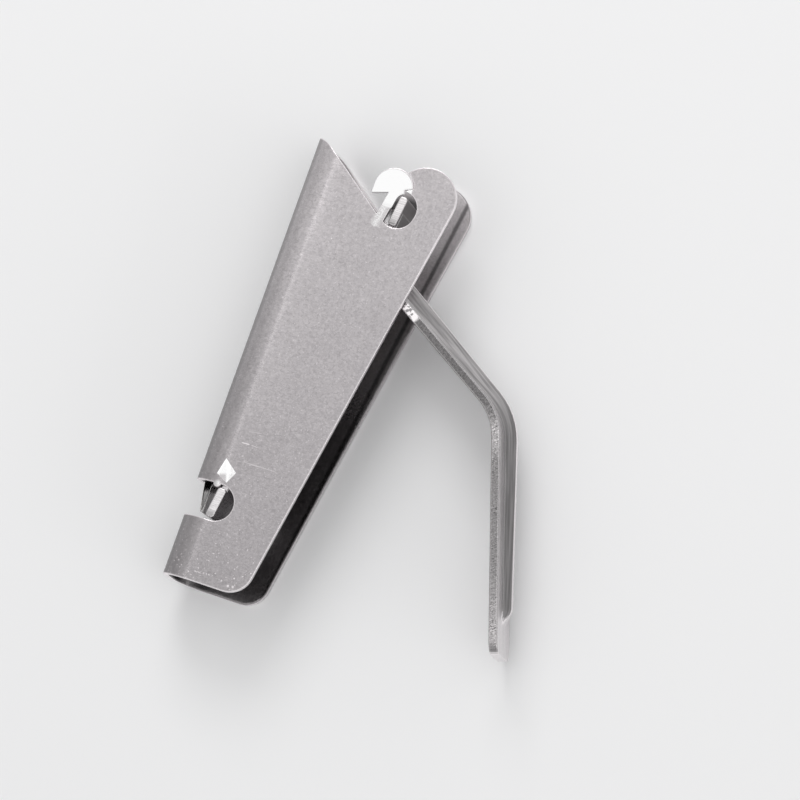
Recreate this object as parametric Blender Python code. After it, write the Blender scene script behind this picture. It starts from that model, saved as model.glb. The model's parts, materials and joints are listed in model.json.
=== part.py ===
"""Pine nut cracker, modelled in metres, lying on its back cheek with +Z up.

A steel sheet is folded into a channel. A bent steel handle hangs by two flat ears in the round seats at
the top of the cheeks, and its knee pushes a presser plate that stands in the lower slots. A folded leaf
spring between the spine and the presser opens the tool again.

Sizes are in millimetres. In the drawing of the cheek, u runs from the spine to the right, and v runs
down from the top of the spine.
"""
import math

import bmesh
import bpy
from mathutils import Vector

MM = 0.001

# Where the part's origin lies on the back cheek.
ORIGIN_U = 14.0
ORIGIN_V = 46.0

# Folded body.
BODY_LENGTH = 94.0
BODY_DEPTH = 18.0
BODY_SHEET = 1.2
FOLD_RADIUS = 6.5
FOOT_WIDTH = 18.35
FOOT_CORNER = 5.0
EDGE_ROUND = 0.12

# Round seat for the handle's ears, and the finger and head that close it.
SEAT_U = 21.73
SEAT_V = 10.15
SEAT_PLAY = 0.5
SEAT_RISE = 0.6
FINGER_LEAN = 10.0
FINGER_WIDTH = 1.95
FINGER_PLAY = 0.75
CURL_RADIUS = 1.9
CURL_RISE = 2.0
CURL_TURN = 60.0
MOUTH_DEPTH = 11.95
MOUTH_START = 1.75
APEX_RADIUS = 10.5
HEAD_RADIUS = 4.05
HEAD_RISE = 3.76
HEAD_SHIFT = 0.53
HEAD_TILT = 22.0
HEAD_BASE = 0.56
BRIM_TILT = 17.5
BRIM_BASE = 0.86
HEAD_GAP = 0.15
NOTCH_SET = 0.6

# Rounded lobe over the seat, placed from the seat's centre.
LOBE_RIGHT = 4.5
LOBE_RISE = 4.0
LOBE_RADIUS = 6.4

# Lower slot, open through the spine, with a nib that keeps the presser in.
SLOT_U = 6.7
SLOT_V = 77.55
SLOT_PLAY = 0.65
NIB_RADIUS = 0.75
NIB_BACK = 1.05
STAKE_RIGHT = 0.78
STAKE_RISE = 4.41
STAKE_LEAN = 20.2
STAKE_LENGTH = 5.0
STAKE_WIDTH = 3.9
STAKE_SINK = 0.42

# Flat ears of the handle and of the presser.
EAR_SINK = 0.3
EAR_CORNER = 0.55
HANDLE_EAR_LENGTH = 6.3
PRESSER_EAR_LENGTH = 6.3
SIDE_GAP = 0.35

# Handle, a bent strip with a pressed rib.
HANDLE_SHEET = 1.8
HANDLE_EAR_SHEET = 1.7
HANDLE_LEAN = 6.9
KNEE_DROP = 12.3
KNEE_RADIUS = 4.0
ARM_LENGTH = 39.9
ARM_ANGLE = 59.0
KNUCKLE_RADIUS = 12.5
GRIP_LENGTH = 48.1
GRIP_ANGLE = 18.9
TIP_CORNER = 2.8
STRIP_CHAMFER = 0.18
RIB_WIDTH = 5.4
RIB_FLAT = 1.4
RIB_ROOT_HEIGHT = 3.15
RIB_END_HEIGHT = 1.7
RIB_RUNOUT = 3.4
RIB_TIP_MARGIN = 6.4
RIB_KNEE_MARGIN = 0.5

# Presser plate.
PRESSER_SHEET = 1.6
PRESSER_EAR_SHEET = 1.7
PRESSER_LEAN = 7.5
PRESSER_FOOT = 10.0
PAD_LENGTH = 17.5
PAD_LEAN = 2.0
PAD_ABOVE_KNEE = 7.0
PRESSER_BEND = 12.0
KNEE_GAP = 0.3

# Folded leaf spring.
SPRING_SHEET = 0.4
SPRING_WIDTH = 6.6
SPRING_GAP = 0.3
SPRING_FOLD_RADIUS = 0.3
SPRING_FOLD_DROP = 5.0
SPRING_FOLD_OUT = 1.6
SPRING_SEAT_REACH = 15.0
SPRING_PUSH_REACH = 21.0
SPRING_BEND = 6.0

ARC_STEP = math.radians(7.5)
OVERSHOOT = 2.0

STEEL = {
    "body_steel": ((0.62, 0.61, 0.60), 0.34),
    "handle_steel": ((0.60, 0.60, 0.60), 0.30),
    "presser_steel": ((0.58, 0.58, 0.58), 0.30),
    "spring_steel": ((0.66, 0.66, 0.66), 0.22),
}


def place(u, v):
    """A point of the cheek's drawing as a point of the part, in millimetres."""
    return Vector((u - ORIGIN_U, ORIGIN_V - v))


def heading(lean):
    """Unit vector that leans by so many degrees to the right of straight up."""
    angle = math.radians(lean)
    return Vector((math.sin(angle), math.cos(angle)))


def right_of(direction):
    return Vector((direction.y, -direction.x))


def arc(centre, radius, start, sweep):
    """Points along an arc, both ends included. Angles are in radians, and a positive sweep turns left."""
    count = max(2, math.ceil(abs(sweep) / ARC_STEP))
    angles = [start + sweep * i / count for i in range(count + 1)]
    return [centre + radius * Vector((math.cos(a), math.sin(a))) for a in angles]


def angle_of(vector):
    return math.atan2(vector.y, vector.x)


def circles_meet(centre_a, radius_a, centre_b, radius_b):
    """The point where two circles meet, on the left of the way from centre a to centre b."""
    apart = centre_b - centre_a
    distance = apart.length
    along = (radius_a ** 2 - radius_b ** 2 + distance ** 2) / (2 * distance)
    aside = math.sqrt(radius_a ** 2 - along ** 2)
    unit = apart / distance
    return centre_a + unit * along - right_of(unit) * aside


def tangent_point(point, centre, radius, side):
    """Where a line from a point touches a circle. Side 1 is the left of the way to the centre."""
    apart = point - centre
    turn = math.acos(radius / apart.length)
    return centre + radius * Vector((math.cos(angle_of(apart) - side * turn),
                                     math.sin(angle_of(apart) - side * turn)))


def material(name):
    colour, roughness = STEEL[name]
    made = bpy.data.materials.new(name)
    made.use_nodes = True
    shader = made.node_tree.nodes["Principled BSDF"]
    shader.inputs["Base Color"].default_value = (*colour, 1.0)
    shader.inputs["Metallic"].default_value = 1.0
    shader.inputs["Roughness"].default_value = roughness
    return made


def solid(name, work, pivot=Vector((0.0, 0.0))):
    """Make an object from a bmesh drawn in millimetres, with its origin on its pivot."""
    bmesh.ops.translate(work, verts=work.verts, vec=(-pivot.x, -pivot.y, 0.0))
    bmesh.ops.scale(work, verts=work.verts, vec=(MM, MM, MM))
    bmesh.ops.recalc_face_normals(work, faces=work.faces)
    mesh = bpy.data.meshes.new(name)
    work.to_mesh(mesh)
    work.free()
    made = bpy.data.objects.new(name, mesh)
    made.location = (pivot.x * MM, pivot.y * MM, 0.0)
    bpy.context.scene.collection.objects.link(made)
    return made


def extruded(outline, low, high, axis="Z"):
    """A bmesh prism over a closed outline, drawn in X and Y and lifted along Z, or in X and Z along Y."""
    work = bmesh.new()
    if axis == "Z":
        base = [work.verts.new((p[0], p[1], low)) for p in outline]
        lift = (0.0, 0.0, high - low)
    else:
        base = [work.verts.new((p[0], low, p[1])) for p in outline]
        lift = (0.0, high - low, 0.0)
    face = work.faces.new(base)
    grown = bmesh.ops.extrude_face_region(work, geom=[face])
    tops = [item for item in grown["geom"] if isinstance(item, bmesh.types.BMVert)]
    bmesh.ops.translate(work, verts=tops, vec=lift)
    return work


def guide(made):
    """Mark an object as a tool that only shapes another one."""
    made.hide_render = True
    made.display_type = "WIRE"
    return made


def combine(target, tool, operation):
    cut = target.modifiers.new(tool.name, "BOOLEAN")
    cut.object = guide(tool)
    cut.operation = operation
    cut.solver = "EXACT"


def soften_edges(target, width, limit_degrees):
    bevel = target.modifiers.new("edge_round", "BEVEL")
    bevel.width = width * MM
    bevel.segments = 1
    bevel.limit_method = "ANGLE"
    bevel.angle_limit = math.radians(limit_degrees)


def shade(target, degrees=35.0):
    target.data.shade_smooth()
    target.data.set_sharp_from_angle(angle=math.radians(degrees))


def seat_radius():
    return HANDLE_EAR_LENGTH / 2 + SEAT_PLAY


def slot_radius():
    return PRESSER_EAR_LENGTH / 2 + SLOT_PLAY


def meet_line(point, direction, on, along):
    """Where the line through a point meets the line through another."""
    cross = direction.x * along.y - direction.y * along.x
    gap = on - point
    return point + direction * ((gap.x * along.y - gap.y * along.x) / cross)


def cheek_outline():
    """The cheek's outline, clockwise from the top of the spine, with the mouth, seat, lobe and slot.

    The mouth's edge rounds into the top of the spine. The finger stands on the left of the seat and curls
    over it, and its head closes the seat against the lobe.
    """
    corner = place(0, 0)
    seat = place(SEAT_U, SEAT_V)
    radius = seat_radius()
    up = heading(FINGER_LEAN)
    side = right_of(up)
    near = HANDLE_EAR_SHEET / 2 + FINGER_PLAY
    inner = seat - side * near
    outer = inner - side * FINGER_WIDTH

    head = seat - side * (near + FINGER_WIDTH / 2 + HEAD_SHIFT) + up * HEAD_RISE
    base_way = heading(90 - HEAD_TILT)
    base = head + right_of(base_way) * HEAD_BASE
    right_tip = base + base_way * math.sqrt(HEAD_RADIUS ** 2 - HEAD_BASE ** 2)
    brim_way = heading(90 - BRIM_TILT)
    brim = head + right_of(brim_way) * BRIM_BASE
    left_tip = meet_line(head - Vector((HEAD_RADIUS, 0.0)), Vector((0.0, 1.0)), brim, brim_way)
    head_sweep = (angle_of(right_tip - head) - math.pi) % math.tau - math.tau

    mouth_floor = Vector((0.0, place(0, MOUTH_DEPTH).y))
    mouth = meet_line(outer, up, mouth_floor, Vector((1.0, 0.0)))
    brow = place(MOUTH_START, 0)
    mouth_way = (mouth - brow).normalized()
    inwards = right_of(mouth_way)
    depth = (corner - brow).dot(inwards)
    run = (corner - brow).dot(mouth_way) + math.sqrt(2 * APEX_RADIUS * depth - depth ** 2)
    apex = brow + mouth_way * run + inwards * APEX_RADIUS
    apex_start = angle_of(corner - apex)
    apex_sweep = angle_of(-inwards) - apex_start

    curl = inner + up * CURL_RISE + side * CURL_RADIUS
    curl_start = angle_of(-side) - math.radians(CURL_TURN)
    notch = meet_line(inner + side * NOTCH_SET, up, base, base_way)

    lobe = seat + Vector((LOBE_RIGHT, LOBE_RISE))
    lip = HEAD_RADIUS + HEAD_GAP
    lobe_start = circles_meet(head, lip, lobe, LOBE_RADIUS)
    neck = right_tip + (right_tip - head).normalized() * HEAD_GAP + right_of(base_way) * HEAD_GAP
    foot = place(FOOT_WIDTH, BODY_LENGTH)
    lobe_end = tangent_point(foot, lobe, LOBE_RADIUS, -1)

    seat_start = inner - up * math.sqrt(radius ** 2 - near ** 2)
    start = angle_of(seat_start - seat)
    seat_sweep = (angle_of(side) - start) % math.tau
    seat_top = seat + up * SEAT_RISE
    top_turn = math.pi / 2 - angle_of(side)
    lip_start = angle_of(neck - head)
    lip_sweep = (angle_of(lobe_start - head) - lip_start) % math.tau
    top_start = angle_of(lobe_start - lobe)
    top_sweep = (angle_of(lobe_end - lobe) - top_start) % math.tau - math.tau

    side_way = (foot - lobe_end).normalized()
    turn = math.acos(-side_way.x)
    reach = FOOT_CORNER / math.tan((math.pi - turn) / 2)
    corner_centre = foot + side_way * -reach + right_of(side_way) * FOOT_CORNER
    corner_start = angle_of(foot - side_way * reach - corner_centre)

    slot = place(SLOT_U, SLOT_V)
    slot_top = slot.y + slot_radius()
    slot_low = slot.y - slot_radius()
    nib = Vector((slot.x - NIB_BACK, slot_top))
    edge = corner.x - OVERSHOOT

    points = [Vector((edge, corner.y))] + arc(apex, APEX_RADIUS, apex_start, apex_sweep)
    points += [mouth, meet_line(outer, up, brim, brim_way), left_tip]
    points += arc(head, HEAD_RADIUS, math.pi, head_sweep)
    points += [notch]
    points += arc(curl, CURL_RADIUS, curl_start, math.radians(CURL_TURN))
    points += arc(seat, radius, start, seat_sweep)
    points += arc(seat_top, radius, angle_of(side), top_turn)
    points += arc(head, lip, lip_start, lip_sweep)
    points += arc(lobe, LOBE_RADIUS, top_start, top_sweep)[1:]
    points += arc(corner_centre, FOOT_CORNER, corner_start, -turn)
    points += [Vector((edge, foot.y)), Vector((edge, slot_low))]
    points += arc(slot, slot_radius(), -math.pi / 2, math.pi)
    points += arc(nib, NIB_RADIUS, 0.0, -math.pi)
    points += [Vector((edge, slot_top))]
    return points


def channel_profile():
    """The folded sheet's section in X and Z, open to the right."""
    left = place(0, 0).x
    right = left + SEAT_U + LOBE_RIGHT + LOBE_RADIUS + OVERSHOOT
    bend = left + FOLD_RADIUS
    low = Vector((bend, FOLD_RADIUS))
    high = Vector((bend, BODY_DEPTH - FOLD_RADIUS))
    inner = FOLD_RADIUS - BODY_SHEET
    quarter = math.pi / 2
    outside = arc(low, FOLD_RADIUS, -quarter, -quarter) + arc(high, FOLD_RADIUS, math.pi, -quarter)
    inside = arc(high, inner, quarter, quarter) + arc(low, inner, math.pi, quarter)
    return ([Vector((right, 0.0))] + outside + [Vector((right, BODY_DEPTH))]
            + [Vector((right, BODY_DEPTH - BODY_SHEET))] + inside + [Vector((right, BODY_SHEET))])


def stake_cutter(name, face, inwards):
    """A shallow four-sided dent beside the slot, where the cheek was staked over the presser's ear."""
    work = bmesh.new()
    low = place(SLOT_U + STAKE_RIGHT, SLOT_V - STAKE_RISE)
    high = low + heading(-STAKE_LEAN) * STAKE_LENGTH
    middle = low.lerp(high, 0.37)
    half = right_of((high - low).normalized()) * STAKE_WIDTH / 2
    lift = -inwards * STAKE_SINK
    rim = [low, middle + half, high, middle - half]
    outer = [work.verts.new((*(middle + (p - middle) * 2), face + lift)) for p in rim]
    tip = work.verts.new((middle.x, middle.y, face + inwards * STAKE_SINK))
    work.faces.new(outer)
    for i, vert in enumerate(outer):
        work.faces.new((vert, outer[(i + 1) % len(outer)], tip))
    return guide(solid(name, work))


def build_body():
    """The folded channel, cut to the cheek's outline through both cheeks at once."""
    top = place(0, 0).y + LOBE_RADIUS + OVERSHOOT
    bottom = place(0, BODY_LENGTH).y - OVERSHOOT
    body = solid("body_shell", extruded(channel_profile(), bottom, top, "Y"))
    blank = extruded(cheek_outline(), -OVERSHOOT, BODY_DEPTH + OVERSHOOT)
    combine(body, solid("cheek_outline", blank), "INTERSECT")
    combine(body, stake_cutter("front_stake", BODY_DEPTH, -1), "DIFFERENCE")
    combine(body, stake_cutter("back_stake", 0.0, 1), "DIFFERENCE")
    soften_edges(body, EDGE_ROUND, 50)
    body.data.materials.append(material("body_steel"))
    shade(body)
    return body


class Path:
    """A line of straight runs joined by arcs, read by the distance along it."""

    def __init__(self, corners, radii):
        self.runs = []
        self.length = 0.0
        here = corners[0]
        for i in range(1, len(corners)):
            way = (corners[i] - corners[i - 1]).normalized()
            if i == len(corners) - 1:
                self.add_line(here, corners[i])
                break
            onward = (corners[i + 1] - corners[i]).normalized()
            turn = math.atan2(way.x * onward.y - way.y * onward.x, way.dot(onward))
            reach = radii[i - 1] * math.tan(abs(turn) / 2)
            entry = corners[i] - way * reach
            self.add_line(here, entry)
            self.runs.append(("arc", self.length, entry, way, turn, radii[i - 1]))
            self.length += abs(turn) * radii[i - 1]
            here = corners[i] + onward * reach

    def add_line(self, start, end):
        self.runs.append(("line", self.length, start, (end - start).normalized(), 0.0, 0.0))
        self.length += (end - start).length

    def at(self, distance):
        """The point and the direction at a distance along the path."""
        kind, began, start, way, turn, radius = [run for run in self.runs if run[1] <= distance + 1e-9][-1]
        gone = distance - began
        if kind == "line":
            return start + way * gone, way
        sign = math.copysign(1.0, turn)
        angle = sign * gone / radius
        centre = start - right_of(way) * radius * sign
        spoke = start - centre
        turned = Vector((spoke.x * math.cos(angle) - spoke.y * math.sin(angle),
                         spoke.x * math.sin(angle) + spoke.y * math.cos(angle)))
        onward = Vector((way.x * math.cos(angle) - way.y * math.sin(angle),
                         way.x * math.sin(angle) + way.y * math.cos(angle)))
        return centre + turned, onward

    def stops(self):
        """Distances at which the path needs a section: ends of the runs and steps along its arcs."""
        found = {0.0, self.length}
        for kind, began, _, _, turn, radius in self.runs:
            found.add(began)
            if kind == "arc":
                count = max(2, math.ceil(abs(turn) / ARC_STEP))
                found.update(began + abs(turn) * radius * i / count for i in range(1, count + 1))
        return found


def smooth(share):
    share = min(1.0, max(0.0, share))
    return share * share * (3 - 2 * share)


def shoulder(share):
    """Rise of the rib's end: a short foot, then a rounded shoulder."""
    share = min(1.0, max(0.0, share))
    return math.sin(math.pi / 2 * share ** 1.3)


def rib_shape(offset):
    """Height of the pressed rib across the strip, from 0 on the lands to 1 on its crest."""
    return smooth((RIB_WIDTH / 2 - abs(offset)) / ((RIB_WIDTH - RIB_FLAT) / 2))


def strip_ring(point, way, thick, half_width, middle, rib_height, offsets):
    """One section of a strip, as points round it. The rib stands out on the left of the way."""
    out = -right_of(way)
    edge = half_width - STRIP_CHAMFER
    across = [-edge] + offsets + [edge]
    half = thick / 2
    ring = [(half + rib_height * rib_shape(o), middle + o) for o in across]
    ring += [(half - STRIP_CHAMFER, middle + half_width), (STRIP_CHAMFER - half, middle + half_width)]
    ring += [(rib_height * rib_shape(o) - half, middle + o) for o in reversed(across)]
    ring += [(STRIP_CHAMFER - half, middle - half_width), (half - STRIP_CHAMFER, middle - half_width)]
    return [Vector((*(point + out * n), z)) for n, z in ring]


def strip_width():
    """Width of a strip that moves between the cheeks."""
    return BODY_DEPTH - 2 * BODY_SHEET - 2 * SIDE_GAP


def strip(path, thick, width, stops, rib=None, corner=0.0):
    """A bmesh of a bent strip: sections along the path, bridged, with its far corners rounded."""
    work = bmesh.new()
    count = 12
    offsets = [RIB_WIDTH * (i / count - 0.5) for i in range(count + 1)] if rib else []
    rings = []
    for distance in sorted(stops):
        point, way = path.at(distance)
        short = max(0.0, corner - (path.length - distance))
        narrowing = corner - math.sqrt(corner ** 2 - short ** 2)
        height = rib(distance) if rib else 0.0
        section = strip_ring(point, way, thick, width / 2 - narrowing, BODY_DEPTH / 2, height, offsets)
        rings.append([work.verts.new(p) for p in section])
    for near, far in zip(rings, rings[1:]):
        for i in range(len(near)):
            j = (i + 1) % len(near)
            work.faces.new((near[i], near[j], far[j], far[i]))
    work.faces.new(rings[0])
    work.faces.new(rings[-1])
    return work


def ear_bar(name, centre, lean, length, thick):
    """The bar with rounded edges that ends in the two ears."""
    up = heading(lean)
    right = right_of(up)
    outline = []
    for side, end, quarter in ((1, 1, 0), (-1, 1, 1), (-1, -1, 2), (1, -1, 3)):
        middle = (centre + right * side * (thick / 2 - EAR_CORNER) + up * end * (length / 2 - EAR_CORNER))
        outline += arc(middle, EAR_CORNER, angle_of(right) + quarter * math.pi / 2, math.pi / 2)
    bar = solid(name, extruded(outline, EAR_SINK, BODY_DEPTH - EAR_SINK), centre)
    soften_edges(bar, EDGE_ROUND, 50)
    return bar


def handle_corners():
    """The handle's centre line, from its pivot in the seat to the tip of the grip."""
    pivot = place(SEAT_U, SEAT_V)
    knee = pivot - heading(HANDLE_LEAN) * KNEE_DROP
    knuckle = knee - heading(-ARM_ANGLE) * ARM_LENGTH
    tip = knuckle - heading(-GRIP_ANGLE) * GRIP_LENGTH
    return [pivot, knee, knuckle, tip]


def build_handle():
    corners = handle_corners()
    path = Path(corners, [KNEE_RADIUS, KNUCKLE_RADIUS])
    rib_start = path.runs[2][1] + RIB_KNEE_MARGIN
    rib_end = path.length - RIB_TIP_MARGIN

    def rib_height(distance):
        share = (distance - rib_start) / (rib_end - rib_start)
        full = RIB_ROOT_HEIGHT + (RIB_END_HEIGHT - RIB_ROOT_HEIGHT) * share
        return full * shoulder((distance - rib_start) / RIB_RUNOUT) * shoulder((rib_end - distance) / RIB_RUNOUT)

    stops = path.stops()
    for i in range(7):
        stops.add(rib_start + RIB_RUNOUT * i / 6)
        stops.add(rib_end - RIB_RUNOUT * i / 6)
        stops.add(path.length - TIP_CORNER * (1 - math.sin(math.pi / 2 * i / 6)))
    work = strip(path, HANDLE_SHEET, strip_width(), stops, rib_height, TIP_CORNER)
    handle = solid("handle_lever", work, corners[0])
    bar = ear_bar("handle_ears", corners[0], HANDLE_LEAN, HANDLE_EAR_LENGTH, HANDLE_EAR_SHEET)
    combine(handle, bar, "UNION")
    handle.data.materials.append(material("handle_steel"))
    shade(handle)
    return handle


def knee_centre():
    """The middle of the knee's bend."""
    path = Path(handle_corners(), [KNEE_RADIUS, KNUCKLE_RADIUS])
    entry, way = path.at(path.runs[1][1])
    return entry - right_of(way) * KNEE_RADIUS


def presser_corners():
    """The presser's centre line, from its pivot in the slot up to the end of its pad."""
    pivot = place(SLOT_U, SLOT_V)
    foot = pivot + heading(PRESSER_LEAN) * PRESSER_FOOT
    pad_way = heading(PAD_LEAN)
    stand_off = KNEE_RADIUS + HANDLE_SHEET / 2 + KNEE_GAP + PRESSER_SHEET / 2
    touch = knee_centre() - right_of(pad_way) * stand_off
    top = touch + pad_way * PAD_ABOVE_KNEE
    return [pivot, foot, top - pad_way * PAD_LENGTH, top]


def build_presser():
    corners = presser_corners()
    path = Path(corners, [PRESSER_BEND, PRESSER_BEND])
    work = strip(path, PRESSER_SHEET, strip_width(), path.stops())
    presser = solid("presser_plate", work, corners[0])
    bar = ear_bar("presser_ears", corners[0], PRESSER_LEAN, PRESSER_EAR_LENGTH, PRESSER_EAR_SHEET)
    combine(presser, bar, "UNION")
    presser.data.materials.append(material("presser_steel"))
    shade(presser)
    return presser


def build_spring():
    """The leaf lies on the spine, folds sharply in the slot and rises to the presser."""
    slot = place(SLOT_U, SLOT_V)
    seat_x = place(0, 0).x + BODY_SHEET + SPRING_GAP + SPRING_SHEET / 2
    bend_y = slot.y + slot_radius()
    seat_bend = Vector((seat_x, bend_y))
    fold = Vector((seat_x + SPRING_FOLD_OUT, slot.y - SPRING_FOLD_DROP))
    push_bend = Vector((fold.x, bend_y))
    low, high = presser_corners()[1:3]
    up = (high - low).normalized()
    aside = right_of(up) * (PRESSER_SHEET / 2 + SPRING_GAP + SPRING_SHEET / 2)
    push = meet_line(low - aside, up, Vector((0.0, slot.y + SPRING_PUSH_REACH)), Vector((1.0, 0.0)))
    seat_tip = seat_bend + Vector((0.0, SPRING_SEAT_REACH))
    path = Path([seat_tip, seat_bend, fold, push_bend, push],
                [SPRING_BEND, SPRING_FOLD_RADIUS, SPRING_BEND])
    spring = solid("return_spring", strip(path, SPRING_SHEET, SPRING_WIDTH, path.stops()))
    spring.data.materials.append(material("spring_steel"))
    shade(spring)
    return spring


def main():
    for old in list(bpy.data.objects):
        bpy.data.objects.remove(old)
    build_body()
    build_handle()
    build_presser()
    build_spring()


main()
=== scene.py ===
"""Looks of the pine nut cracker: steel finishes, a pale floor, soft lights and the camera."""
import json
import math

import bpy
from mathutils import Matrix, Vector


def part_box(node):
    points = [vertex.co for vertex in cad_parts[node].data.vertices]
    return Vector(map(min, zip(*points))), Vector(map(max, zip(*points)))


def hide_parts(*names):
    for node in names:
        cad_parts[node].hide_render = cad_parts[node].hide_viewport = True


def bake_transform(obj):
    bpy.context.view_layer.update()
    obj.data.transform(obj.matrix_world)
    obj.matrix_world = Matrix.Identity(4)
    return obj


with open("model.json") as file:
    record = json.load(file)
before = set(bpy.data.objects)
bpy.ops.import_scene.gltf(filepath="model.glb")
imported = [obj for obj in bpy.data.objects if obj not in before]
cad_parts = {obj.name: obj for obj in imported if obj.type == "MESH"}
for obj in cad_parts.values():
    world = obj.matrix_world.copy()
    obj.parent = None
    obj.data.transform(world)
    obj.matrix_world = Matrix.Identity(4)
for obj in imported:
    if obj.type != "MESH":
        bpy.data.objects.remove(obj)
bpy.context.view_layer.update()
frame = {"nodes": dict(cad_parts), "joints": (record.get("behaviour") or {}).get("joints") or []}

MM = 0.001

# Camera, in millimetres of the part's own frame.
CAMERA_PLACE = (294.1, -142.3, 1163.4)
CAMERA_TARGET = (19.24, 0.68, 9.0)
CAMERA_ROLL = 19.7
CAMERA_LENS = 267.3
CAMERA_SENSOR = 36.0
CAMERA_REACH = 20.0

FLOOR_SIZE = 6.0
FLOOR_DROP = 0.1
FLOOR_COLOUR = (0.89, 0.89, 0.895, 1.0)
FLOOR_ROUGHNESS = 0.8
WORLD_COLOUR = (1.0, 1.0, 1.0, 1.0)
WORLD_HORIZON = 0.60
WORLD_TOP = 0.66

# Lamps: azimuth and elevation in degrees, distance and size in metres, level on a white surface.
LAMPS = {
    "lamp_over": (0.0, 82.0, 0.8, (1.0, 1.0), 0.17),
    "lamp_ridge": (168.0, 63.0, 0.8, (0.10, 0.55), 0.014),
    "lamp_key": (112.0, 42.0, 0.9, (0.40, 0.40), 0.26),
    "lamp_side": (-18.0, 20.0, 0.9, (0.25, 0.70), 0.10),
}

# Sizes of the part and places on it, in millimetres, and the knuckle's turn in degrees.
HINGES = {joint["name"]: [value / MM for value in joint["pos_m"]] for joint in frame["joints"]}
PIVOT = HINGES["handle_hinge"]
SLOT = HINGES["presser_hinge"]
MIDDLE_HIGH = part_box("body_shell")[1][2] / MM / 2
SIDE_SOFT = 1.0
FRONT_HEIGHTS = (MIDDLE_HIGH, MIDDLE_HIGH + SIDE_SOFT)
BACK_HEIGHTS = (MIDDLE_HIGH, MIDDLE_HIGH - SIDE_SOFT)
FOLD_EDGE = -7.5
FOLD_RADIUS = 6.5
FOLD_CORE = MIDDLE_HIGH - FOLD_RADIUS
BODY_ENDS = (-48.0, 46.0)
STRIP_HALF = 7.5
HEAD = (5.23, 39.87)
HEAD_REACH = 4.15
BRIM = (2.0, 37.6)
BRIM_REACH = 1.9
FINGER = ((4.05, 31.2), (5.2, 37.4))
FINGER_HALF = 1.25
STAKE = ((-8.25, -22.45), (-5.31, -24.7), (-6.52, -27.14), (-9.08, -25.9))
STAKE_MIDDLE = (-7.16, -25.4)
STAKE_ACROSS = (0.94, 0.34)
STAKE_ALONG = (-0.34, 0.94)
NIB = (-8.35, -27.75)
NIB_REACH = 0.80
EAR_REACH = 3.8
ARM_WAY = (0.857, -0.515)
GRIP_WAY = (0.324, -0.946)
KNUCKLE_CENTRE = (30.1, -5.28)
KNUCKLE_RADIUS = 12.5
KNUCKLE_TURN = 40.1

# How masks are read and drawn: cosines, depths and reaches in millimetres, and shares.
MOST = (0.30, 0.70)
CORE = (0.35, 0.65)
UP = (0.0, 0.0, 1.0)
SKIN_COSINES = (0.985, 0.993)
SKIN_DEPTHS = (0.75, 0.55)
FLAT_COSINES = (0.6, 0.9)
WALL_COSINES = (0.97, 0.90)
SHEARED_DEPTHS = (3.0, 2.9)
OUTLINE_SOFT = 0.08
STROKE_SOFT = 0.5
STROKE_SIDE = 0.4
BEVEL_SAMPLES = 8
STREAK_SEEDS = (1.0, 1.7, 0.3)
TINY = 0.001

# Cheek: speckle from grain, hatch and cloud, darker towards the foot.
CHEEK_TONE = (0.395, 0.515)
CHEEK_GRAIN = {"scale": 1.5, "detail": 2.0, "roughness": 0.75, "distortion": 1.1}
CHEEK_CLOUD = {"scale": 0.12, "detail": 3.0, "roughness": 0.5}
CHEEK_HATCH = {"angle": 4.0, "length": 1.6, "width": 0.26, "low": 0.40, "high": 0.62, "seed": 2.3}
GRAIN_SHARE, HATCH_SHARE, CLOUD_SHARE = 0.76, 0.10, 0.16
SPECKLE = (0.79, 1.21)
HATCH_REACH = 10.0
HATCH_RISE = (-40.0, 10.0)
HATCH_FAR = 0.25

# Painted light and shade over the fold, by steps east of its edge: a ridge of wear and painted highlight,
# a painted paler band, a painted dark side, painted shade.
RIDGE_STEPS = (-2.4, -0.4, -0.2, 2.4)
RIDGE_RISE = (-35.0, 40.0)
RIDGE_WEAR_AND_HIGHLIGHT_LIFT = (0.0, 0.10)
BAND_STEPS = (-6.2, -4.8, -2.6, -1.0)
BAND_RISE = (-30.0, 30.0)
BAND_HIGHLIGHT_LIFT = (0.05, 0.30)
OUTER_STEPS = (-6.4, -4.6)
OUTER_SHADE_TONE = (0.50, 1.0)
SHADE_STEPS = (-5.1, -1.5)
SHADE_TONE = (0.66, 1.12)
CALM_STEPS = (-1.1, 0.3)
CALM_TONE = (1.0, 0.893)

# Fine cuts all over the sheet: angle, length, width, low, high and seed.
CUTS = (
    (4.0, 2.6, 0.16, 0.66, 0.80, 1.3),
    (-14.0, 2.2, 0.15, 0.68, 0.82, 4.1),
    (24.0, 2.0, 0.15, 0.68, 0.82, 7.7),
)
CUT_SHARE = 0.40
CUT_FAR = 0.45
FLECKS = {"scale": 2.4, "detail": 0.0, "roughness": 0.5}
FLECK_LEVEL = (0.745, 0.80)
FLECK_RISE = (-36.0, -42.0)
FLECK_SHARE = (0.42, 0.70)
FLECK_TONE = 0.80

# Scratches on the front cheek: start, end, width and strength.
SCRATCHES = (
    ((-6.6, -18.5), (-4.4, -18.4), 0.34, 1.0),
    ((-4.6, -18.4), (-2.6, -18.5), 0.20, 0.6),
    ((-5.0, -22.1), (2.4, -22.0), 0.22, 0.45),
    ((-3.4, -22.15), (-0.8, -22.05), 0.24, 0.7),
    ((-6.0, -16.0), (-2.8, -15.5), 0.20, 0.40),
    ((2.1, -13.7), (4.2, -13.0), 0.18, 0.35),
    ((5.8, -12.0), (8.2, -11.6), 0.18, 0.30),
)
# Bright dents on the front cheek: place and reach.
DENTS = (
    ((-9.6, -45.6), 0.24),
    ((-9.8, -46.1), 0.20),
    ((4.6, -42.9), 0.22),
    ((1.7, -44.9), 0.24),
    ((1.0, -46.7), 0.36),
    ((2.0, -46.6), 0.32),
    ((-8.0, 21.4), 0.22),
    ((-9.0, 17.1), 0.20),
    ((-3.2, 26.4), 0.20),
    ((-8.6, 12.0), 0.20),
)
DENT_SOFT = 0.75
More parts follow.
